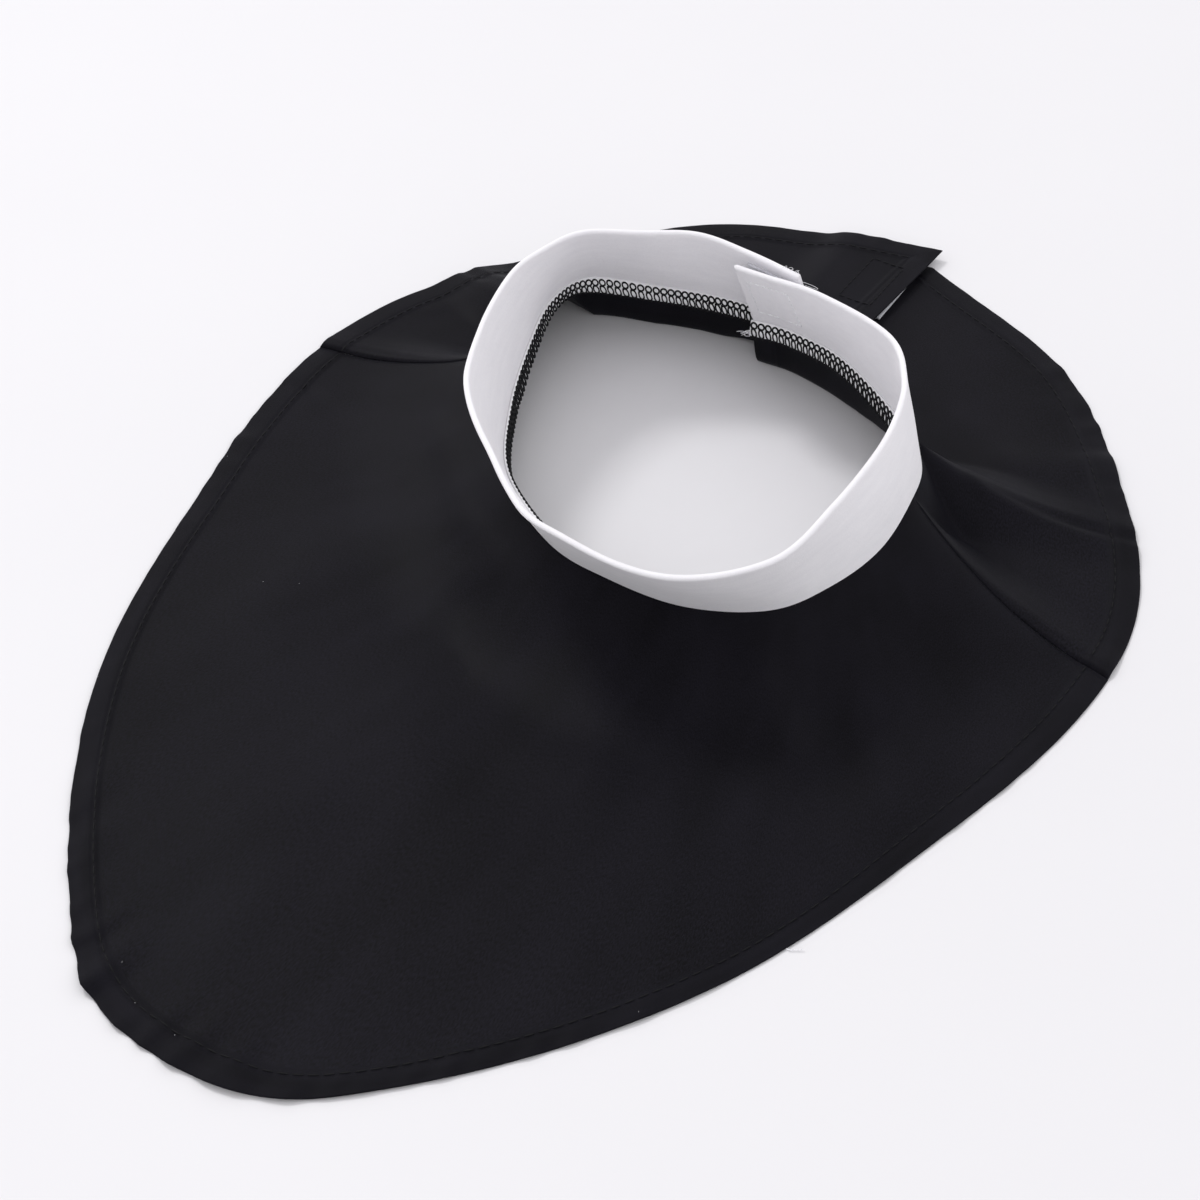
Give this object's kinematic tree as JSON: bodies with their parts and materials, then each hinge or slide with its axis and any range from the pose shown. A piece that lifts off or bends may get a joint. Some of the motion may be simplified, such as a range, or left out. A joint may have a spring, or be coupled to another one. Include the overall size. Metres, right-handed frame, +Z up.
{
  "type": "clip-on bib collar",
  "caption": "Black cloth bib with a white stand-up collar band that closes at the back of the neck with hook-and-loop tape.",
  "frame": {"origin": "on the surface the bib lies on, under the middle of its bounding box", "axes": "+Z up, -Y towards the wearer's front, +X towards the wearer's left"},
  "size_m": [0.24, 0.342, 0.0498],
  "materials": {
    "black_satin": "matt satin weave",
    "white_cotton": "fine plain weave, pressed",
    "interfacing": "stiff non-woven",
    "hook_tape": "rows of small hooks",
    "loop_tape": "brushed loops",
    "black_thread": "twisted thread",
    "white_thread": "twisted thread"
  },
  "bodies": {
    "bib": {"front_panel": "black_satin", "right_back_panel": "black_satin", "left_back_panel": "black_satin", "collar_band": "white_cotton", "collar_interfacing": "interfacing", "collar_hook_tape": "hook_tape", "back_hook_tape": "hook_tape", "collar_hook_stitches": "white_thread", "front_hem_stitches": "black_thread", "right_back_hem_stitches": "black_thread", "left_back_hem_stitches": "black_thread", "neck_seam_allowance": "white_cotton", "neck_overlock_thread": "black_thread", "right_shoulder_allowance": "black_satin", "left_shoulder_allowance": "black_satin"},
    "collar_tab": {"collar_end_tab": "white_cotton", "collar_tab_interfacing": "interfacing", "collar_loop_tape": "loop_tape", "collar_loop_stitches": "white_thread"},
    "back_flap": {"right_back_flap": "black_satin", "flap_hem_stitches": "black_thread", "back_loop_tape": "loop_tape", "back_loop_stitches": "black_thread"}
  },
  "joints": [
    {"name": "collar_tab_peel", "type": "hinge", "parent": "bib", "child": "collar_tab", "pos_m": [-0.02, 0.10581, 0.0175], "axis": [0, -0.4414, 0.8973], "range_deg": [0, 90]},
    {"name": "back_flap_peel", "type": "hinge", "parent": "bib", "child": "back_flap", "pos_m": [0.0075, 0.11467, 0.003], "axis": [0.7295, -0.6839, 0], "range_deg": [0, 120]}
  ]
}
